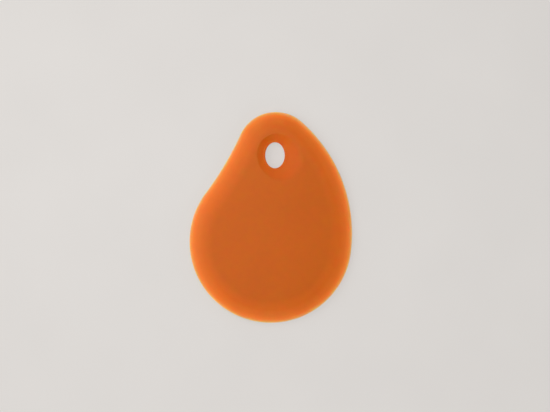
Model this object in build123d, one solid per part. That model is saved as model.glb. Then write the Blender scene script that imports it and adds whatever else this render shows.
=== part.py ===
from build123d import *
import math
import os

# A pear-shaped bowl scraper: one soft silicone moulding over a stiff nylon plate.
# It lies flat, narrow end towards +Y, with its two alike faces looking along +Z and -Z.
# The origin is below the middle of its outline, on the surface that it lies on.

# Outline: a round lobe and a round nose, joined by a bulging right flank and a hollow left flank
BODY_LENGTH = 130.0
LOBE_RADIUS = 50.0
NOSE_RADIUS = 24.0
NOSE_SHIFT = 3.2
RIGHT_FLANK_RADIUS = 92.0
LEFT_FLANK_RADIUS = 200.0

# Silicone moulding, alike above and below its parting plane, thinning to a lip all round
BODY_THICKNESS = 8.0
SHOULDER_WIDTH = 11.0
LIP_RADIUS = 1.0
LIP_ANGLE = 79.0
LIP_REACH = 4.0
FACE_REACH = 4.0

# Oval hang hole, placed from the nose's centre
HOLE_WIDTH = 12.0
HOLE_LENGTH = 16.0
HOLE_SHIFT_X = -0.5
HOLE_SHIFT_Y = -2.7
HOLE_EDGE_BEVEL = 0.6

# Shallow dish round the hole, off centre, so that its wall is steepest at the upper left
DISH_DEPTH = 1.8
DISH_SHORT_RADIUS = 13.4
DISH_LONG_RADIUS = 15.8
DISH_TURN = 40.0
DISH_SHIFT_X = 2.3
DISH_SHIFT_Y = -1.6
DISH_OVERRUN_SHARE = 0.12

# Nylon plate inside, held by silicone posts through its keying holes
CORE_INSET = 10.0
CORE_THICKNESS = 2.2
CORE_EDGE_BEVEL = 0.5
CORE_HOLE_WALL = 3.0
KEY_DIAMETER = 12.0
KEY_PITCH = 30.0
KEY_LAND = 4.0
KEY_ROW_ANGLE = 60.0

UP = (0, 0, 1)
DOWN = (0, 0, -1)
MID_HEIGHT = BODY_THICKNESS / 2
CORE_LOW = MID_HEIGHT - CORE_THICKNESS / 2


def meeting_point(first, first_reach, second, second_reach):
    """The point at the two reaches from two others, on the left of the way from first to second."""
    way = second - first
    along = (first_reach**2 - second_reach**2 + way.length**2) / 2 / way.length
    across = math.sqrt(first_reach**2 - along**2)
    unit = way.normalized()
    return first + unit * along + unit.rotate(Axis.Z, 90) * across


def bearing(start, end):
    """The direction from one point to another, in degrees from +X."""
    return math.degrees(math.atan2(end.Y - start.Y, end.X - start.X))


def tangent_arcs(lobe):
    """The outline's arcs, anticlockwise, as centre, radius, start angle and sweep.

    The hollow flank sweeps the other way, so its sweep is negative.
    """
    nose = lobe + Vector(NOSE_SHIFT, BODY_LENGTH - LOBE_RADIUS - NOSE_RADIUS)
    right = meeting_point(lobe, RIGHT_FLANK_RADIUS - LOBE_RADIUS, nose, RIGHT_FLANK_RADIUS - NOSE_RADIUS)
    left = meeting_point(lobe, LEFT_FLANK_RADIUS + LOBE_RADIUS, nose, LEFT_FLANK_RADIUS + NOSE_RADIUS)
    lobe_to_right = bearing(right, lobe)
    right_to_nose = bearing(right, nose)
    nose_to_left = bearing(nose, left)
    left_to_lobe = bearing(lobe, left)
    return [
        (right, RIGHT_FLANK_RADIUS, lobe_to_right, right_to_nose - lobe_to_right),
        (nose, NOSE_RADIUS, right_to_nose, nose_to_left - right_to_nose),
        (left, LEFT_FLANK_RADIUS, nose_to_left - 180, left_to_lobe - nose_to_left),
        (lobe, LOBE_RADIUS, left_to_lobe, 360 + lobe_to_right - left_to_lobe),
    ]


def face_inside(arcs, inset, height):
    """The face inside the arcs after they move squarely inwards, at a height."""
    edges = []
    for centre, radius, start, sweep in arcs:
        edges.append(CenterArc(centre, radius - math.copysign(inset, sweep), start, sweep))
    return Pos(0, 0, height) * make_face(edges)


def outline_arcs():
    """The outline's arcs, placed so that the middle of their box is at the origin."""
    trial = face_inside(tangent_arcs(Vector(0, 0)), 0, 0)
    return tangent_arcs(-trial.bounding_box().center())


ARCS = outline_arcs()
LOBE_CENTRE = ARCS[3][0]
NOSE_CENTRE = ARCS[1][0]
HOLE_CENTRE = NOSE_CENTRE + Vector(HOLE_SHIFT_X, HOLE_SHIFT_Y)


def flipped(point):
    """The point as far below the parting plane as the given one is above it."""
    return Vector(point.X, -point.Y)


def edge_section():
    """The section of the pad's edge: X runs inwards from the outline, and Y up from the parting plane.

    The lip is a round nose, drawn as the cubic curve that follows its arc, which meshes more
    lightly than the arc when it is turned. From it, each shoulder leaves along the nose's own
    slope, is steepest halfway up, and eases into the face.
    """
    angle = math.radians(LIP_ANGLE)
    lip_end = Vector(LIP_RADIUS * (1 - math.cos(angle)), LIP_RADIUS * math.sin(angle))
    slope = Vector(math.sin(angle), math.cos(angle))
    handle_end = lip_end - slope * (4 / 3 * math.tan(angle / 2) * LIP_RADIUS)
    face_edge = Vector(SHOULDER_WIDTH, MID_HEIGHT)
    lip = Bezier(lip_end, handle_end, flipped(handle_end), flipped(lip_end))
    shoulder = Bezier(lip_end, lip_end + slope * LIP_REACH, face_edge - Vector(FACE_REACH, 0), face_edge)
    inner = Line(face_edge, flipped(face_edge))
    return make_face([lip, shoulder, mirror(shoulder, about=Plane.XZ), inner])


def edge_wedge(section, centre, radius, start, sweep):
    """The pad's edge along one arc: its section turned about the arc's centre."""
    outward = Vector(1, 0).rotate(Axis.Z, start)
    inward = -outward if sweep > 0 else outward
    rim_point = centre + outward * radius + Vector(0, 0, MID_HEIGHT)
    across = Plane(rim_point, x_dir=inward, z_dir=inward.cross(Vector(UP)))
    turn = Axis(centre, UP if sweep > 0 else DOWN)
    return revolve(across * section, axis=turn, revolution_arc=abs(sweep))


def padded_form():
    """The closed outer form: a flat middle, and an edge that tapers to the lip along each arc."""
    section = edge_section()
    middle = extrude(face_inside(ARCS, SHOULDER_WIDTH, 0), amount=BODY_THICKNESS, dir=UP)
    return middle + [edge_wedge(section, *arc) for arc in ARCS]


def hole_oval(margin, height):
    """The hang hole's oval, widened all round by a margin, at a height."""
    oval = Ellipse(HOLE_WIDTH / 2 + margin, HOLE_LENGTH / 2 + margin)
    return Pos(HOLE_CENTRE.X, HOLE_CENTRE.Y, height) * oval


def dish_section(share):
    """The dish's oval at a share of the way from its border on the face to the hole."""
    left = 1 - share
    short_radius = HOLE_WIDTH / 2 * share + DISH_SHORT_RADIUS * left
    long_radius = HOLE_LENGTH / 2 * share + DISH_LONG_RADIUS * left
    centre = HOLE_CENTRE + Vector(DISH_SHIFT_X, DISH_SHIFT_Y) * left
    place = Pos(centre.X, centre.Y, BODY_THICKNESS - DISH_DEPTH * share)
    return place * Rot(0, 0, DISH_TURN * left) * Ellipse(short_radius, long_radius)


def hole_cutter():
    """The hang hole with a dish at each of its mouths and bevelled edges between them."""
    dish = loft([dish_section(-DISH_OVERRUN_SHARE), dish_section(1)])
    bore = extrude(hole_oval(0, 0), amount=BODY_THICKNESS, dir=UP)
    cutter = bore + dish + mirror(dish, about=Plane.XY.offset(MID_HEIGHT))
    rims = cutter.edges().filter_by(Plane.XY).filter_by_position(Axis.Z, 0, BODY_THICKNESS)
    return chamfer(rims, HOLE_EDGE_BEVEL)


def key_places(plate):
    """Staggered rows of places for keying holes, wherever the plate leaves enough land."""
    row_step = KEY_PITCH * math.sin(math.radians(KEY_ROW_ANGLE))
    rows = math.ceil(BODY_LENGTH / row_step)
    columns = math.ceil(BODY_LENGTH / KEY_PITCH)
    face = plate.faces().sort_by(Axis.Z)[-1]
    places = []
    for row in range(-rows, rows + 1):
        for column in range(-columns, columns + 1):
            across = (column + row % 2 / 2) * KEY_PITCH
            point = Vector(LOBE_CENTRE.X + across, LOBE_CENTRE.Y + row * row_step, face.center().Z)
            land = min(edge.distance_to(point) for edge in face.edges())
            if face.is_inside(point) and land >= KEY_DIAMETER / 2 + KEY_LAND:
                places.append(Pos(point.X, point.Y, CORE_LOW))
    return places


def make_core_plate():
    """The stiffening plate: a flat moulding with a bevelled outline, a ring round the hole and keying holes."""
    plate = extrude(face_inside(ARCS, CORE_INSET, CORE_LOW), amount=CORE_THICKNESS, dir=UP)
    plate = chamfer(plate.edges().filter_by(Plane.XY), CORE_EDGE_BEVEL)
    plate -= extrude(hole_oval(CORE_HOLE_WALL, CORE_LOW), amount=CORE_THICKNESS, dir=UP)
    key_circle = Circle(KEY_DIAMETER / 2)
    return plate - [extrude(place * key_circle, amount=CORE_THICKNESS, dir=UP) for place in key_places(plate)]


def make_silicone_body(core_plate):
    """The soft moulding, filled round the plate and through its keying holes."""
    return padded_form() - hole_cutter() - core_plate


def save(part, name):
    """Writes one piece under its own name."""
    part.label = name
    export_step(part, os.path.join("parts", name + ".step"))
    print(name, "volume", round(part.volume), "valid", part.is_valid)


os.makedirs("parts", exist_ok=True)
core_plate = make_core_plate()
save(core_plate, "core_plate")
save(make_silicone_body(core_plate), "silicone_body")
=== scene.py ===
import math

import bpy
import numpy as np
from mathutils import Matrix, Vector


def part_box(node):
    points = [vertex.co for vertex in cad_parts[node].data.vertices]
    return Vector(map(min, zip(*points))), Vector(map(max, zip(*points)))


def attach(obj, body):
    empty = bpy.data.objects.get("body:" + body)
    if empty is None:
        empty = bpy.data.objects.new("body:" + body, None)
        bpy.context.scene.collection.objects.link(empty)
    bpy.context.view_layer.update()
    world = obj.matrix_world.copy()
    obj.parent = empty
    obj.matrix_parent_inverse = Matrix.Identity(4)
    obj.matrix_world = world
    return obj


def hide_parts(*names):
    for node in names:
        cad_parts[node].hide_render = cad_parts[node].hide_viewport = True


# A pear-shaped bowl scraper of orange silicone, lying flat and seen from straight above.
# The silicone skin is rebuilt here from the CAD part's sizes, finer and with softer edges.
# Lengths are in metres, in the CAD part's frame.

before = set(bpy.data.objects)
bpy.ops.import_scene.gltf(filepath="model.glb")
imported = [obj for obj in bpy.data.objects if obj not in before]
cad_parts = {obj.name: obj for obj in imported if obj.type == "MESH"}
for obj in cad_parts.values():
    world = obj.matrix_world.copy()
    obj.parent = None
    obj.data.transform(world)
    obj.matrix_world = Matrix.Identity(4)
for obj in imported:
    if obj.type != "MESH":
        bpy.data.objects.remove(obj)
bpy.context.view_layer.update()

MM = 0.001

# Outline, as the CAD part draws it: a lobe and a nose, joined by a bulging and a hollow flank
CAD_LOW, CAD_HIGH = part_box("silicone_body")
BODY_LENGTH = CAD_HIGH.y - CAD_LOW.y
BODY_WIDTH = CAD_HIGH.x - CAD_LOW.x
BODY_CENTRE = (CAD_LOW + CAD_HIGH) / 2
MID_HEIGHT = BODY_CENTRE.z
HALF_THICKNESS = CAD_HIGH.z - MID_HEIGHT
LOBE_RADIUS = 50 * MM
NOSE_RADIUS = 24 * MM
NOSE_SHIFT = 3.2 * MM
RIGHT_FLANK_RADIUS = 92 * MM
LEFT_FLANK_RADIUS = 200 * MM

# Edge section: a fine parting line, a thin lip with rounded edges, and a shoulder that leaves the lip
# gently, is steepest halfway up and eases into the face. It is kept inside the CAD part's facets.
SKIN_INSET = 0.02 * MM
RIDGE_DEPTH = 0.05 * MM
RIDGE_HALF_WIDTH = 0.09 * MM
LIP_HALF_THICKNESS = 0.35 * MM
LIP_ROUNDING = 0.12 * MM
LIP_ANGLE = math.radians(88)
LIP_REACH = 3.2 * MM
FACE_REACH = 5.0 * MM
SHOULDER_WIDTH = 11.5 * MM

# Crown: how much of its height above the lip each face loses from its middle to its sides and to its ends
SIDE_CROWN_SHARE = 0.6
END_CROWN_SHARE = 0.2

# Oval hang hole, placed from the nose's centre
HOLE_SHIFT = Vector((-0.5 * MM, -2.7 * MM))
HOLE_LONG_RADIUS = 8 * MM
HOLE_SHORT_RADIUS = 6 * MM
HOLE_TURN = math.radians(90)
HOLE_EDGE_RADIUS = 0.7 * MM

# Dish round the hole, an oval that is off centre and turned. At the lean's bearing it is deeper than its
# middle depth by the lean, and opposite it is shallower. A level ledge takes the last share of the way in.
DISH_DEPTH = 2.2 * MM
DISH_LEAN = 1.0 * MM
DISH_LEAN_BEARING = math.radians(98)
DISH_LEDGE_SHARE = 0.12
DISH_SHIFT = Vector((3.3 * MM, -1.5 * MM))
DISH_LONG_RADIUS = 15.5 * MM
DISH_SHORT_RADIUS = 13.8 * MM
DISH_TURN = math.radians(130)

# Fold where the dish's wall leaves the face: crisp at one bearing and soft opposite
DISH_CRISP_BEARING = math.radians(155)
CRISP_FOLD_SHARE = 0.05
SOFT_FOLD_SHARE = 0.16

# Mesh density
STATIONS = 480
LIP_RINGS = 7
SHOULDER_STEPS = 60
SHOULDER_RINGS = 16
SHOULDER_RING_INSET = 9 * MM
PLATEAU_RINGS = 18
DISH_RINGS = 20
HOLE_EDGE_RINGS = 6
BORE_RINGS = 4
DISH_BORDER_RING = LIP_RINGS + SHOULDER_RINGS + PLATEAU_RINGS

# The silicone's colour at shares of the reach from its rim, over which it thickens. Towards the rim it is
# lighter and yellower. This is partly thin silicone's own colour and partly painted light: a painted glow
# for light passing through the thin lip, painted light on the shoulders, and a painted white sheen in the
# blue.
THINNING_AND_GLOW_REACH = 14 * MM
THINNING_AND_PAINTED_GLOW_COLOURS = (
    (0.0, (0.99, 0.62, 0.20)),
    (0.07, (0.99, 0.335, 0.07)),
    (0.16, (0.94, 0.235, 0.028)),
    (0.31, (0.822, 0.192, 0.018)),
    (0.57, (0.738, 0.160, 0.008)),
    (1.0, (0.634, 0.138, 0.003)),
)

# Painted light: the dish is a little redder and brighter in red than the face, with less blue. This stands
# in for orange light bounced inside the hollow, the light on its walls and less sheen there. It takes full
# effect from this share of the way in.
DISH_PAINTED_BOUNCE_TINT = (1.08, 0.96, 0.6)
DISH_PAINTED_BOUNCE_SHARE = 0.35

# How rich a noise is, and the middle of its range, where most of its values lie
PLAIN_DETAIL = 2
FINE_DETAIL = 3
RICH_DETAIL = 4
NOISE_MIDDLE = (0.3, 0.7)

# The silicone's surface: a cloud and a mottle that vary its colour, and pores and a fine grain in its skin
SILICONE_CLOUD_SIZE = 30 * MM
SILICONE_CLOUD_LEVELS = (0.98, 1.02)
SILICONE_MOTTLE_SIZE = 4 * MM
SILICONE_MOTTLE_LEVELS = (0.985, 1.015)
SILICONE_PORE_SIZE = 0.9 * MM
SILICONE_PORE_DEPTH = 0.012 * MM
SILICONE_GRAIN_SIZE = 0.35 * MM
SILICONE_GRAIN_DEPTH = 0.008 * MM
SILICONE_ROUGHNESS = (0.5, 0.58)
SILICONE_IOR = 1.41
SILICONE_SPECULAR = 0.26
SILICONE_SCATTER_SHARE = 1.0
SILICONE_SCATTER_RADII = (1.0, 0.35, 0.1)
SILICONE_SCATTER_REACH = 0.3 * MM

# The nylon's surface
NYLON_COLOUR = (0.62, 0.59, 0.52)
NYLON_FLOW_SIZE = 9 * MM
NYLON_FLOW_LEVELS = (0.94, 1.04)
NYLON_GRAIN_SIZE = 0.4 * MM
NYLON_GRAIN_DEPTH = 0.006 * MM
NYLON_ROUGHNESS = (0.38, 0.5)
NYLON_IOR = 1.53

# The floor keeps the scraper's shadow, but this share of what is seen of it is its plain colour
FLOOR_SIZE = 3.0
FLOOR_COLOUR = (0.726, 0.697, 0.670)
FLOOR_GLOW_SHARE = 0.75
FLOOR_FIBRE_SIZE = 0.5 * MM
FLOOR_CLOUD_SIZE = 60 * MM
FLOOR_LEVELS = (0.99, 1.01)
FLOOR_ROUGHNESS = 0.9
FLOOR_SPECULAR = 0.2

# Lamps, each a name, an azimuth from +X and an elevation in degrees, a distance, a size and a level
FILL_ELEVATION = 20
FILL_DISTANCE = 0.9
FILL_SIZE = 0.5
LAMPS = (
    ("key_left", 152, 66, 0.4, 0.5, 0.94),
    ("front", 180, 80, 0.45, 0.6, 0.17),
    ("fill_left", 180, FILL_ELEVATION, FILL_DISTANCE, FILL_SIZE, 0.21),
    ("fill_top", 90, FILL_ELEVATION, FILL_DISTANCE, FILL_SIZE, 0.15),
    ("fill_right", 0, FILL_ELEVATION, FILL_DISTANCE, FILL_SIZE, 0.22),
    ("fill_bottom", 270, FILL_ELEVATION, FILL_DISTANCE, FILL_SIZE, 0.28),
)
WORLD_LEVEL = 0.02

# The photograph's frame: where the scraper's middle lies in it, and how large it is
IMAGE_WIDTH_PX = 550
IMAGE_HEIGHT_PX = 412
BODY_LENGTH_PX = 210.75
BODY_MIDDLE_X_PX = 270.81
BODY_MIDDLE_Y_PX = 217.37
LENS = 100
SENSOR_WIDTH = 36


def meeting_point(first, first_reach, second, second_reach):
    """The point at the two reaches from two others, on the left of the way from first to second."""
    way = second - first
    along = (first_reach**2 - second_reach**2 + way.length_squared) / way.length / 2
    across = math.sqrt(first_reach**2 - along**2)
    unit = way.normalized()
    return first + unit * along + unit.orthogonal() * across


def bearing(start, end):
    """The direction from one point to another, as an angle from +X."""
    return math.atan2(end.y - start.y, end.x - start.x)


def tangent_arcs(lobe):
    """The outline's arcs, anticlockwise, as centre, radius, start angle and sweep.

    The hollow flank sweeps the other way, so its sweep is negative.
    """
    nose = lobe + Vector((NOSE_SHIFT, BODY_LENGTH - LOBE_RADIUS - NOSE_RADIUS))
    right = meeting_point(lobe, RIGHT_FLANK_RADIUS - LOBE_RADIUS, nose, RIGHT_FLANK_RADIUS - NOSE_RADIUS)
    left = meeting_point(lobe, LEFT_FLANK_RADIUS + LOBE_RADIUS, nose, LEFT_FLANK_RADIUS + NOSE_RADIUS)
    lobe_to_right = bearing(right, lobe)
    right_to_nose = bearing(right, nose)
    nose_to_left = bearing(nose, left)
    left_to_lobe = bearing(lobe, left)
    return [
        (right, RIGHT_FLANK_RADIUS, lobe_to_right, right_to_nose - lobe_to_right),
        (nose, NOSE_RADIUS, right_to_nose, nose_to_left - right_to_nose),
        (left, LEFT_FLANK_RADIUS, nose_to_left - math.pi, left_to_lobe - nose_to_left),
        (lobe, LOBE_RADIUS, left_to_lobe, math.tau + lobe_to_right - left_to_lobe),
    ]


def outline_stations(arcs):
    """Evenly spaced points round the outline, and the inward direction at each."""
    lengths = [radius * abs(sweep) for _, radius, _, sweep in arcs]
    ends = np.cumsum(lengths)
    points = []
    inwards = []
    for reach in np.arange(STATIONS) * ends[-1] / STATIONS:
        number = int(np.searchsorted(ends, reach, side="right"))
        centre, radius, start, sweep = arcs[number]
        share = (reach - ends[number] + lengths[number]) / lengths[number]
        angle = start + sweep * share
        outward = np.array((math.cos(angle), math.sin(angle)))
        points.append(np.array(centre) + outward * radius)
        inwards.append(-outward * math.copysign(1, sweep))
    return np.array(points), np.array(inwards)


def placed_outline():
    """The outline's stations with the middle of their box on the CAD part's, and the nose's centre."""
    arcs = tangent_arcs(Vector((0, 0)))
    points, inwards = outline_stations(arcs)
    middle = (points.min(axis=0) + points.max(axis=0)) / 2
    move = np.array(BODY_CENTRE.xy) - middle
    return points + move, inwards, arcs[1][0] + Vector(move)


def lip_profile():
    """The lip's section, from the parting line inwards, as pairs of inset and height above the mid-plane."""
    profile = [(SKIN_INSET, 0)]
    first_angle = math.asin(RIDGE_HALF_WIDTH / LIP_HALF_THICKNESS)
    for angle in np.linspace(first_angle, LIP_ANGLE, LIP_RINGS):
        inset = SKIN_INSET + RIDGE_DEPTH + LIP_ROUNDING * (1 - math.cos(angle))
        profile.append((inset, LIP_HALF_THICKNESS * math.sin(angle)))
    return profile


def shoulder_profile(lip_end):
    """The shoulder's section from the lip's end to the face, as arrays of inset and height."""
    start = np.array(lip_end)
    slope = np.array((LIP_ROUNDING * math.sin(LIP_ANGLE), LIP_HALF_THICKNESS * math.cos(LIP_ANGLE)))
    slope /= np.linalg.norm(slope)
    end = np.array((SHOULDER_WIDTH, HALF_THICKNESS))
    handles = (start + slope * LIP_REACH, end - (FACE_REACH, 0))
    share = np.linspace(0, 1, SHOULDER_STEPS)[:, None]
    left = 1 - share
    curve = (
        start * left**3
        + handles[0] * (3 * left**2 * share)
        + handles[1] * (3 * left * share**2)
        + end * share**3
    )
    return curve[:, 0], curve[:, 1]


def distances(points, rim):
    """How far each point lies from the rim."""
    return np.linalg.norm(points[:, None] - rim, axis=2).min(axis=1)


def face_heights(points, rim, section):
    """The face's height above the mid-plane at each point, from the shoulder's section, before the crown."""
    return np.interp(distances(points, rim), *section)


def with_height(points, height):
    """Ring points with their height above the mid-plane. The crown lowers what stands above the lip."""
    across, along = ((points - np.array(BODY_CENTRE.xy)) / (BODY_WIDTH / 2, BODY_LENGTH / 2)).T
    fall = SIDE_CROWN_SHARE * across**2 + END_CROWN_SHARE * along**2
    above_lip = np.maximum(height - LIP_HALF_THICKNESS, 0)
    return np.column_stack((points, height - above_lip * fall))


def oval_points(centre, long_radius, short_radius, turn, places):
    """Points of an oval at places round it, which are angles from its long axis."""
    long_way = np.array((math.cos(turn), math.sin(turn)))
    short_way = np.array((-math.sin(turn), math.cos(turn)))
    along = np.outer(np.cos(places) * long_radius, long_way)
    return np.array(centre) + along + np.outer(np.sin(places) * short_radius, short_way)


def places_towards(centre, long_radius, short_radius, turn, points):
    """The places on an oval that lie towards each of the points."""
    away = points - np.array(centre)
    along = away @ np.array((math.cos(turn), math.sin(turn)))
    across = away @ np.array((-math.sin(turn), math.cos(turn)))
    return np.arctan2(across / short_radius, along / long_radius)


def edge_rings(rim, inwards, lip, section):
    """The rings from the parting line over the lip and most of the shoulder."""
    insets, heights = section
    rings = [with_height(rim + inwards * inset, height) for inset, height in lip]
    for inset in np.linspace(insets[0], SHOULDER_RING_INSET, SHOULDER_RINGS + 1)[1:]:
        rings.append(with_height(rim + inwards * inset, np.interp(inset, insets, heights)))
    return rings


def plateau_rings(rim, section, shoulder_ring, dish_edge):
    """The rings over the rest of the shoulder and the face, to the dish's border."""
    rings = []
    for share in np.linspace(0, 1, PLATEAU_RINGS + 1)[1:]:
        points = shoulder_ring * (1 - share) + dish_edge * share
        rings.append(with_height(points, face_heights(points, rim, section)))
    return rings


def dish_share(share, fold):
    """The share of the dish's depth that is reached at a share of the way in to the hole.

    The wall drops straight from a fold at its border, whose width is a share of the way too, to a
    level ledge round the hole.
    """
    reach = min(share / (1 - DISH_LEDGE_SHARE), 1)
    return (np.sqrt(reach**2 + fold**2) - fold) / (np.sqrt(1 + fold**2) - fold)


def dish_rings(rim, section, hole_centre, places, depth):
    """The rings down the dish, from its border to the hole's rounded edge."""
    softness = (1 - np.cos(places + DISH_TURN - DISH_CRISP_BEARING)) / 2
    fold = CRISP_FOLD_SHARE + (SOFT_FOLD_SHARE - CRISP_FOLD_SHARE) * softness
    long_end = HOLE_LONG_RADIUS + HOLE_EDGE_RADIUS
    short_end = HOLE_SHORT_RADIUS + HOLE_EDGE_RADIUS
    rings = []
    for share in np.linspace(0, 1, DISH_RINGS + 1)[1:]:
        left = 1 - share
        points = oval_points(
            hole_centre + DISH_SHIFT * left,
            long_end + (DISH_LONG_RADIUS - long_end) * left,
            short_end + (DISH_SHORT_RADIUS - short_end) * left,
            HOLE_TURN + (DISH_TURN - HOLE_TURN) * left,
            places,
        )
        face = face_heights(points, rim, section)
        rings.append(with_height(points, face - depth * dish_share(share, fold)))
    return rings


def hole_rings(hole_centre, places, bottom):
    """The rings from the dish's bottom over the hole's rounded edge and down its bore to the mid-plane."""
    rings = []
    for angle in np.linspace(0, math.pi / 2, HOLE_EDGE_RINGS + 1)[1:]:
        margin = HOLE_EDGE_RADIUS * (1 - math.sin(angle))
        drop = HOLE_EDGE_RADIUS * (1 - math.cos(angle))
        long_radius = HOLE_LONG_RADIUS + margin
        short_radius = HOLE_SHORT_RADIUS + margin
        points = oval_points(hole_centre, long_radius, short_radius, HOLE_TURN, places)
        rings.append(with_height(points, bottom - drop))
    bore = rings[-1][:, :2]
    for height in np.linspace(bottom - HOLE_EDGE_RADIUS, 0, BORE_RINGS + 1)[1:]:
        rings.append(with_height(bore, height))
    return rings


def half_skin(rim, inwards, hole_centre):
    """The upper half's rings, from the parting line over the face and down the hole to the mid-plane."""
    lip = lip_profile()
    section = shoulder_profile(lip[-1])
    rings = edge_rings(rim, inwards, lip, section)
    shoulder_ring = rings[-1][:, :2]
    dish = (hole_centre + DISH_SHIFT, DISH_LONG_RADIUS, DISH_SHORT_RADIUS, DISH_TURN)
    places = places_towards(*dish, shoulder_ring)
    depth = DISH_DEPTH + DISH_LEAN * np.cos(places + DISH_TURN - DISH_LEAN_BEARING)
    rings += plateau_rings(rim, section, shoulder_ring, oval_points(*dish, places))
    rings += dish_rings(rim, section, hole_centre, places, depth)
    rings += hole_rings(hole_centre, places, HALF_THICKNESS - depth)
    return rings


def there_and_back(upper):
    """A list for the upper half's rings, followed by the lower half's, which are alike and come back."""
    return upper + upper[-2:0:-1]


def ring_faces(rings):
    """The faces that join each ring of stations to the next, and the last ring to the first."""
    faces = []
    for ring in range(rings):
        here = ring * STATIONS
        there = (ring + 1) % rings * STATIONS
        for station in range(STATIONS):
            after = (station + 1) % STATIONS
            faces.append((here + station, here + after, there + after, there + station))
    return faces


def add_values(mesh, name, values):
    """Keeps one number for each of the mesh's points, for its material to read."""
    mesh.attributes.new(name, "FLOAT", "POINT").data.foreach_set("value", values)


def silicone_skin():
    """The silicone moulding as one closed skin, alike above and below its mid-plane."""
    rim, inwards, nose_centre = placed_outline()
    upper = half_skin(rim, inwards, nose_centre + HOLE_SHIFT)
    lower = [ring * (1, 1, -1) for ring in upper[-2:0:-1]]
    points = np.concatenate(upper + lower) + (0, 0, MID_HEIGHT)
    faces = ring_faces(len(upper) + len(lower))
    to_rim = [distances(ring[:, :2], rim) for ring in upper]
    way_in = [min(max(ring - DISH_BORDER_RING, 0) / DISH_RINGS, 1) for ring in range(len(upper))]
    mesh = bpy.data.meshes.new("silicone_skin")
    mesh.from_pydata(points.tolist(), [], faces)
    mesh.polygons.foreach_set("use_smooth", [True] * len(faces))
    add_values(mesh, "rim_distance", np.concatenate(there_and_back(to_rim)))
    add_values(mesh, "way_into_dish", np.repeat(there_and_back(way_in), STATIONS))
    mesh.update()
    skin = bpy.data.objects.new("silicone_skin", mesh)
    bpy.context.scene.collection.objects.link(skin)
    return skin


def node_tree(name):
    """A new material, its nodes, its links, its shader and its object coordinates."""
    material = bpy.data.materials.new(name)
    material.use_nodes = True
    nodes = material.node_tree.nodes
    links = material.node_tree.links
    shader = nodes["Principled BSDF"]
    place = nodes.new("ShaderNodeTexCoord").outputs["Object"]
    return material, nodes, links, shader, place


def noise(nodes, links, place, size, detail):
    """A noise whose features are about as large as size."""
    node = nodes.new("ShaderNodeTexNoise")
    node.inputs["Scale"].default_value = 1 / size
    node.inputs["Detail"].default_value = detail
    links.new(place, node.inputs["Vector"])
    return node.outputs["Fac"]


def ramp(nodes, links, factor, levels):
    """A value that runs from the first level to the second as a noise runs over the middle of its range."""
    node = nodes.new("ShaderNodeMapRange")
    node.inputs["From Min"].default_value, node.inputs["From Max"].default_value = NOISE_MIDDLE
    node.inputs["To Min"].default_value, node.inputs["To Max"].default_value = levels
    links.new(factor, node.inputs["Value"])
    return node.outputs["Result"]


def scaled_colour(nodes, links, colour, factors):
    """A colour times each of the factors."""
    for factor in factors:
        node = nodes.new("ShaderNodeVectorMath")
        node.operation = "SCALE"
        if isinstance(colour, tuple):
            node.inputs["Vector"].default_value = colour
        else:
            links.new(colour, node.inputs["Vector"])
        links.new(factor, node.inputs["Scale"])
        colour = node.outputs["Vector"]
    return colour


def grain(nodes, links, heights):
    """Chained bumps, each from a height field and its depth."""
    normal = None
    for height, depth in heights:
        bump = nodes.new("ShaderNodeBump")
        bump.inputs["Strength"].default_value = 1
        bump.inputs["Distance"].default_value = depth
        links.new(height, bump.inputs["Height"])
        if normal is not None:
            links.new(normal, bump.inputs["Normal"])
        normal = bump.outputs["Normal"]
    return normal


def share_of_reach(nodes, links, name, reach):
    """The values that the mesh keeps under a name, as shares of a reach, of which none is above 1."""
    values = nodes.new("ShaderNodeAttribute")
    values.attribute_name = name
    share = nodes.new("ShaderNodeMath")
    share.operation = "DIVIDE"
    share.use_clamp = True
    share.inputs[1].default_value = reach
    links.new(values.outputs["Fac"], share.inputs[0])
    return share.outputs["Value"]


def colour_by_thinning_and_painted_glow(nodes, links):
    """The silicone's colour, which lightens towards its rim where the moulding thins. This is partly its own
    colour and partly a painted glow, painted shoulder light and painted sheen.
    """
    ramp_node = nodes.new("ShaderNodeValToRGB")
    stops = ramp_node.color_ramp.elements
    while len(stops) < len(THINNING_AND_PAINTED_GLOW_COLOURS):
        stops.new(1)
    for stop, (place, colour) in zip(stops, THINNING_AND_PAINTED_GLOW_COLOURS):
        stop.position = place
        stop.color = (*colour, 1)
    links.new(share_of_reach(nodes, links, "rim_distance", THINNING_AND_GLOW_REACH), ramp_node.inputs["Fac"])
    return ramp_node.outputs["Color"]


def dish_with_painted_bounce(nodes, links, colour):
    """The colour, with painted bounce light and less sheen tinted in from the dish's border inwards."""
    tint = nodes.new("ShaderNodeMix")
    tint.data_type = "RGBA"
    tint.blend_type = "MULTIPLY"
    links.new(share_of_reach(nodes, links, "way_into_dish", DISH_PAINTED_BOUNCE_SHARE), tint.inputs["Factor"])
    links.new(colour, tint.inputs["A"])
    tint.inputs["B"].default_value = (*DISH_PAINTED_BOUNCE_TINT, 1)
    return tint.outputs["Result"]


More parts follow.
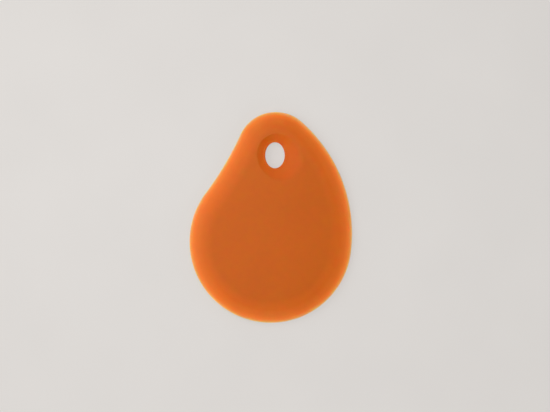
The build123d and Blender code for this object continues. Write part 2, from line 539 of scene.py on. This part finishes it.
def silicone_material():
    """Matt orange silicone: a fine moulded grain, faint mottling and soft light just below the skin."""
    material, nodes, links, shader, place = node_tree("silicone")
    cloud = noise(nodes, links, place, SILICONE_CLOUD_SIZE, PLAIN_DETAIL)
    mottle = noise(nodes, links, place, SILICONE_MOTTLE_SIZE, FINE_DETAIL)
    fine = noise(nodes, links, place, SILICONE_GRAIN_SIZE, PLAIN_DETAIL)
    pores = noise(nodes, links, place, SILICONE_PORE_SIZE, FINE_DETAIL)
    # Painted light: the rim's painted glow and sheen and the dish's painted bounce light are part of this
    # colour
    colour = dish_with_painted_bounce(nodes, links, colour_by_thinning_and_painted_glow(nodes, links))
    cloud_factor = ramp(nodes, links, cloud, SILICONE_CLOUD_LEVELS)
    mottle_factor = ramp(nodes, links, mottle, SILICONE_MOTTLE_LEVELS)
    colour = scaled_colour(nodes, links, colour, [cloud_factor, mottle_factor])
    skin_grain = grain(nodes, links, [(pores, SILICONE_PORE_DEPTH), (fine, SILICONE_GRAIN_DEPTH)])
    links.new(colour, shader.inputs["Base Color"])
    links.new(ramp(nodes, links, mottle, SILICONE_ROUGHNESS), shader.inputs["Roughness"])
    links.new(skin_grain, shader.inputs["Normal"])
    shader.inputs["IOR"].default_value = SILICONE_IOR
    shader.inputs["Specular IOR Level"].default_value = SILICONE_SPECULAR
    shader.inputs["Subsurface Weight"].default_value = SILICONE_SCATTER_SHARE
    shader.inputs["Subsurface Radius"].default_value = SILICONE_SCATTER_RADII
    shader.inputs["Subsurface Scale"].default_value = SILICONE_SCATTER_REACH
    return material


def nylon_material():
    """Natural moulded nylon for the plate inside: satin, with a faint flow pattern."""
    material, nodes, links, shader, place = node_tree("nylon")
    flow = noise(nodes, links, place, NYLON_FLOW_SIZE, RICH_DETAIL)
    fine = noise(nodes, links, place, NYLON_GRAIN_SIZE, PLAIN_DETAIL)
    colour = scaled_colour(nodes, links, NYLON_COLOUR, [ramp(nodes, links, flow, NYLON_FLOW_LEVELS)])
    links.new(colour, shader.inputs["Base Color"])
    links.new(ramp(nodes, links, flow, NYLON_ROUGHNESS), shader.inputs["Roughness"])
    links.new(grain(nodes, links, [(fine, NYLON_GRAIN_DEPTH)]), shader.inputs["Normal"])
    shader.inputs["IOR"].default_value = NYLON_IOR
    return material


def seen_share(nodes, links, share):
    """The share for what is seen straight, in a reflection or through something, and 0 for other light."""
    paths = nodes.new("ShaderNodeLightPath")
    seen = paths.outputs["Is Camera Ray"]
    for ray in ("Is Glossy Ray", "Is Transmission Ray"):
        either = nodes.new("ShaderNodeMath")
        either.operation = "MAXIMUM"
        links.new(seen, either.inputs[0])
        links.new(paths.outputs[ray], either.inputs[1])
        seen = either.outputs["Value"]
    scaled = nodes.new("ShaderNodeMath")
    scaled.operation = "MULTIPLY"
    links.new(seen, scaled.inputs[0])
    scaled.inputs[1].default_value = share
    return scaled.outputs["Value"]


def floor_material():
    """Plain pale warm grey, faintly uneven, with a share of its colour shown as it is."""
    material, nodes, links, shader, place = node_tree("floor")
    fibre = noise(nodes, links, place, FLOOR_FIBRE_SIZE, FINE_DETAIL)
    cloud = noise(nodes, links, place, FLOOR_CLOUD_SIZE, PLAIN_DETAIL)
    factors = [ramp(nodes, links, fibre, FLOOR_LEVELS), ramp(nodes, links, cloud, FLOOR_LEVELS)]
    colour = scaled_colour(nodes, links, FLOOR_COLOUR, factors)
    links.new(colour, shader.inputs["Base Color"])
    shader.inputs["Roughness"].default_value = FLOOR_ROUGHNESS
    shader.inputs["Specular IOR Level"].default_value = FLOOR_SPECULAR

    glow = nodes.new("ShaderNodeEmission")
    links.new(colour, glow.inputs["Color"])
    mix = nodes.new("ShaderNodeMixShader")
    links.new(seen_share(nodes, links, FLOOR_GLOW_SHARE), mix.inputs["Fac"])
    links.new(shader.outputs["BSDF"], mix.inputs[1])
    links.new(glow.outputs["Emission"], mix.inputs[2])
    links.new(mix.outputs["Shader"], nodes["Material Output"].inputs["Surface"])
    return material


def make_floor():
    """The pale floor that the scraper lies on."""
    half = FLOOR_SIZE / 2
    corners = [(x, y, CAD_LOW.z) for x, y in ((-half, -half), (half, -half), (half, half), (-half, half))]
    mesh = bpy.data.meshes.new("floor")
    mesh.from_pydata(corners, [], [(0, 1, 2, 3)])
    mesh.materials.append(floor_material())
    floor = bpy.data.objects.new("floor", mesh)
    bpy.context.scene.collection.objects.link(floor)


def lamp(name, azimuth, elevation, distance, size, level):
    """A square lamp that faces the scraper. A white surface that faces it shows its level.

    A lamp of power P lights such a surface, at the distance d, to P / (pi d) ** 2.
    """
    light = bpy.data.lights.new(name, "AREA")
    light.shape = "SQUARE"
    light.size = size
    light.energy = level * math.pi**2 * distance**2
    holder = bpy.data.objects.new(name, light)
    holder.visible_camera = False
    turn = math.radians(azimuth)
    rise = math.radians(elevation)
    away = Vector((math.cos(turn) * math.cos(rise), math.sin(turn) * math.cos(rise), math.sin(rise)))
    holder.location = BODY_CENTRE + away * distance
    holder.rotation_euler = away.to_track_quat("Z", "Y").to_euler()
    bpy.context.scene.collection.objects.link(holder)


def make_world(level):
    """Even white light from all sides."""
    world = bpy.data.worlds.new("studio")
    world.use_nodes = True
    background = world.node_tree.nodes["Background"]
    background.inputs["Color"].default_value = (1, 1, 1, 1)
    background.inputs["Strength"].default_value = level
    bpy.context.scene.world = world


def make_camera():
    """The camera straight above, at the photograph's scale and with its framing."""
    pixel = BODY_LENGTH / BODY_LENGTH_PX
    camera = bpy.data.cameras.new("camera")
    camera.lens = LENS
    camera.sensor_width = SENSOR_WIDTH
    holder = bpy.data.objects.new("camera", camera)
    right = (IMAGE_WIDTH_PX / 2 - BODY_MIDDLE_X_PX) * pixel
    up = (BODY_MIDDLE_Y_PX - IMAGE_HEIGHT_PX / 2) * pixel
    away = IMAGE_WIDTH_PX * pixel * LENS / SENSOR_WIDTH
    holder.location = BODY_CENTRE + Vector((right, up, away))
    bpy.context.scene.collection.objects.link(holder)
    bpy.context.scene.camera = holder


skin = silicone_skin()
skin.data.materials.append(silicone_material())
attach(skin, "root")
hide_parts("silicone_body")
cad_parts["core_plate"].material_slots[0].material = nylon_material()

make_floor()
make_world(WORLD_LEVEL)
for values in LAMPS:
    lamp(*values)
make_camera()
bpy.context.scene.view_settings.view_transform = "Standard"
